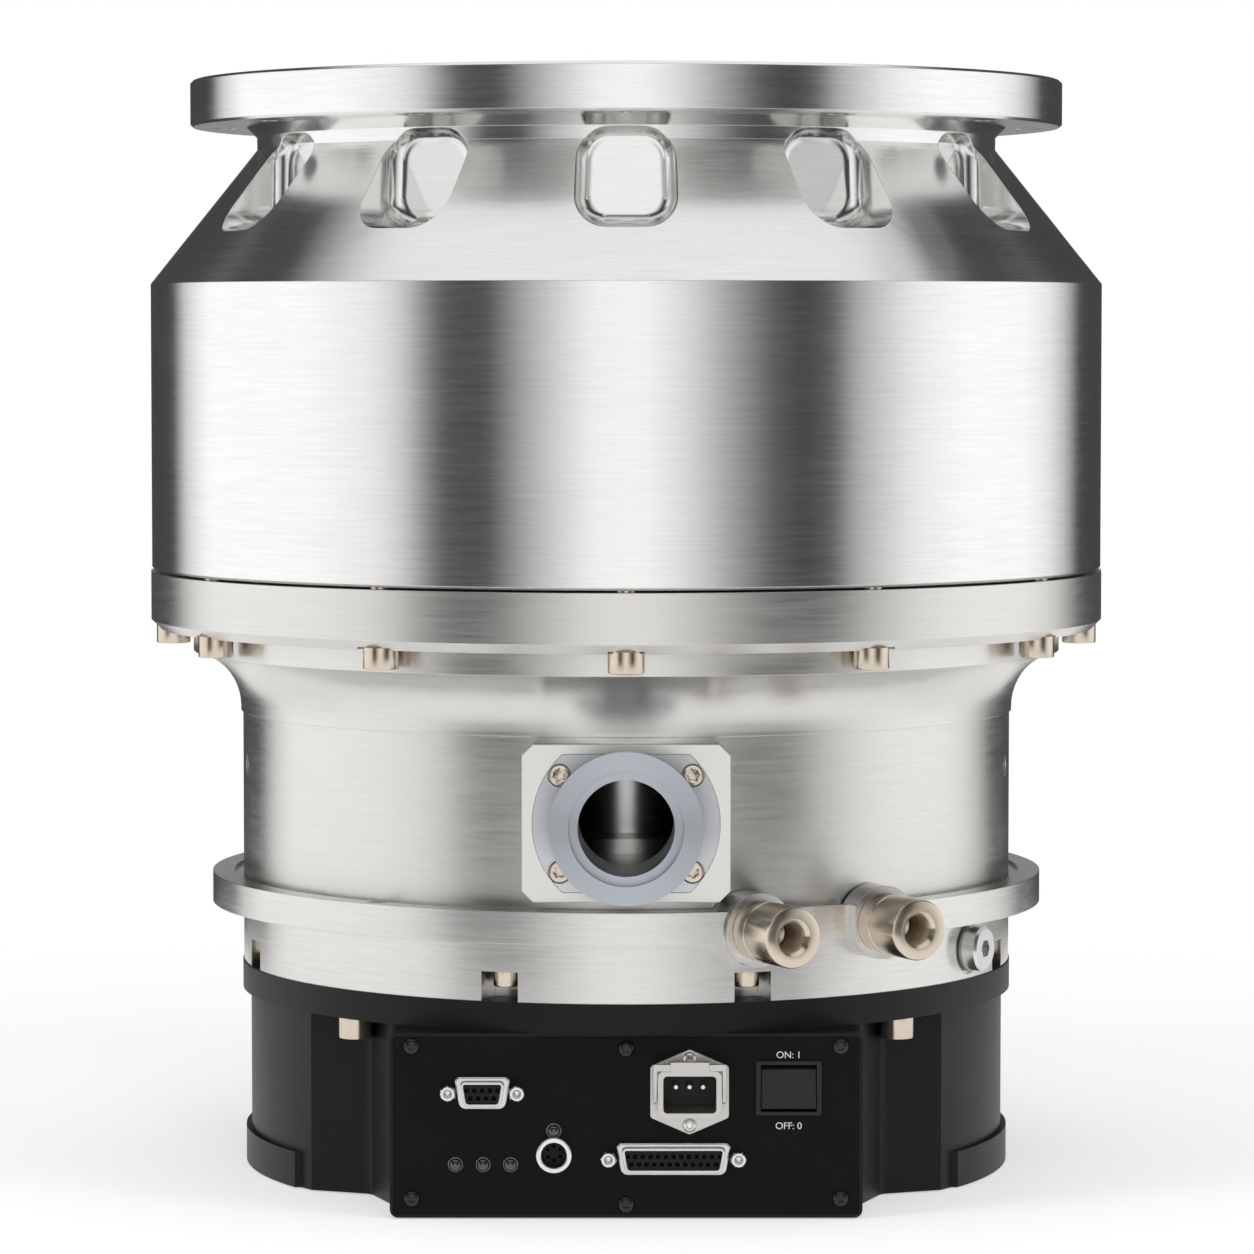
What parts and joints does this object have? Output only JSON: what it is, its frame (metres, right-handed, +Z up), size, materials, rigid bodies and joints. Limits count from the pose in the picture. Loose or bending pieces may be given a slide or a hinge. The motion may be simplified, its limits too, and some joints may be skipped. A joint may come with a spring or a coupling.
{
  "type": "turbomolecular pump",
  "caption": "Magnetically levitated turbomolecular vacuum pump with a bolted inlet flange, clamp-flange exhaust, water-cooled foot and an attached controller with connector panel.",
  "frame": {"origin": "centre of the underside of the controller, on the rotor's axis", "axes": "+Z up along the rotor's axis towards the inlet, -Y out of the exhaust and the connector panel, +X to the right of someone facing the panel"},
  "size_m": [0.3667, 0.3668, 0.4154],
  "materials": {
    "envelope_steel": "fine turned, satin",
    "base_steel": "satin, turned",
    "nozzle_steel": "turned, satin",
    "plate_aluminium": "satin, machined",
    "nickel": "warm nickel plate",
    "bright_steel": "bright, turned",
    "rotor_aluminium": "machined",
    "shaft_steel": "ground",
    "bearing_steel": "ground",
    "coil_resin": "potted coils",
    "controller_black": "satin powder coat",
    "panel_black": "fine satin",
    "black_screw": "black oxide",
    "socket_steel": "tin plate",
    "jack_steel": "bright plate",
    "insert_black": "moulded",
    "lamp_black": "smoked lens, unlit",
    "inlet_grey": "satin, warm light grey",
    "pin_plastic": "moulded",
    "switch_black": "moulded",
    "seal_black": "moulded",
    "board_green": "solder mask"
  },
  "bodies": {
    "pump": {"envelope": "envelope_steel", "envelope_seal": "seal_black", "envelope_screws": "nickel", "pump_base": "base_steel", "exhaust_nozzle": "nozzle_steel", "exhaust_seal": "seal_black", "exhaust_screws": "nickel", "cooling_plate": "plate_aluminium", "cooling_plate_screws": "nickel", "water_coupling_left": "nickel", "water_coupling_right": "nickel", "purge_plug": "bright_steel", "purge_washer": "seal_black", "stator_stage_upper": "rotor_aluminium", "stator_stage_lower": "rotor_aluminium", "drag_stator": "rotor_aluminium", "bearing_column": "plate_aluminium", "radial_bearing_upper": "coil_resin", "radial_bearing_lower": "coil_resin", "motor_stator": "coil_resin", "axial_bearing": "bearing_steel", "touchdown_bearing_upper": "bearing_steel", "touchdown_bearing_lower": "bearing_steel", "controller_housing": "controller_black", "controller_screws": "nickel", "bottom_cover": "controller_black", "bottom_cover_screws": "black_screw", "control_board": "board_green", "control_panel": "panel_black", "panel_screws": "black_screw", "comm_socket_shell": "socket_steel", "comm_socket_insert": "insert_black", "remote_socket_shell": "socket_steel", "remote_socket_insert": "insert_black", "socket_jackscrews": "jack_steel", "status_lamps": "lamp_black", "link_socket_ring": "jack_steel", "link_socket_insert": "insert_black", "link_socket_key": "insert_black", "power_inlet_housing": "inlet_grey", "power_inlet_insert": "pin_plastic", "power_inlet_screws": "jack_steel", "switch_bezel": "switch_black"},
    "rotor": {"turbine_rotor": "rotor_aluminium", "rotor_shaft": "shaft_steel", "rotor_clamp_screws": "bright_steel", "thrust_disc": "shaft_steel"},
    "inlet_lever": {"power_inlet_lever": "inlet_grey"},
    "rocker": {"switch_rocker": "switch_black"}
  },
  "joints": [
    {"name": "rotor_spin", "type": "hinge", "parent": "pump", "child": "rotor", "pos_m": [0, 0, 0.2], "axis": [0, 0, 1], "continuous": true},
    {"name": "lever_swing", "type": "hinge", "parent": "pump", "child": "inlet_lever", "pos_m": [0.0229, -0.1493, 0.0441], "axis": [1, 0, 0], "range_deg": [0, 90]},
    {"name": "rocker_tilt", "type": "hinge", "parent": "pump", "child": "rocker", "pos_m": [0.0587, -0.1422, 0.0473], "axis": [1, 0, 0], "range_deg": [0, 16]}
  ]
}
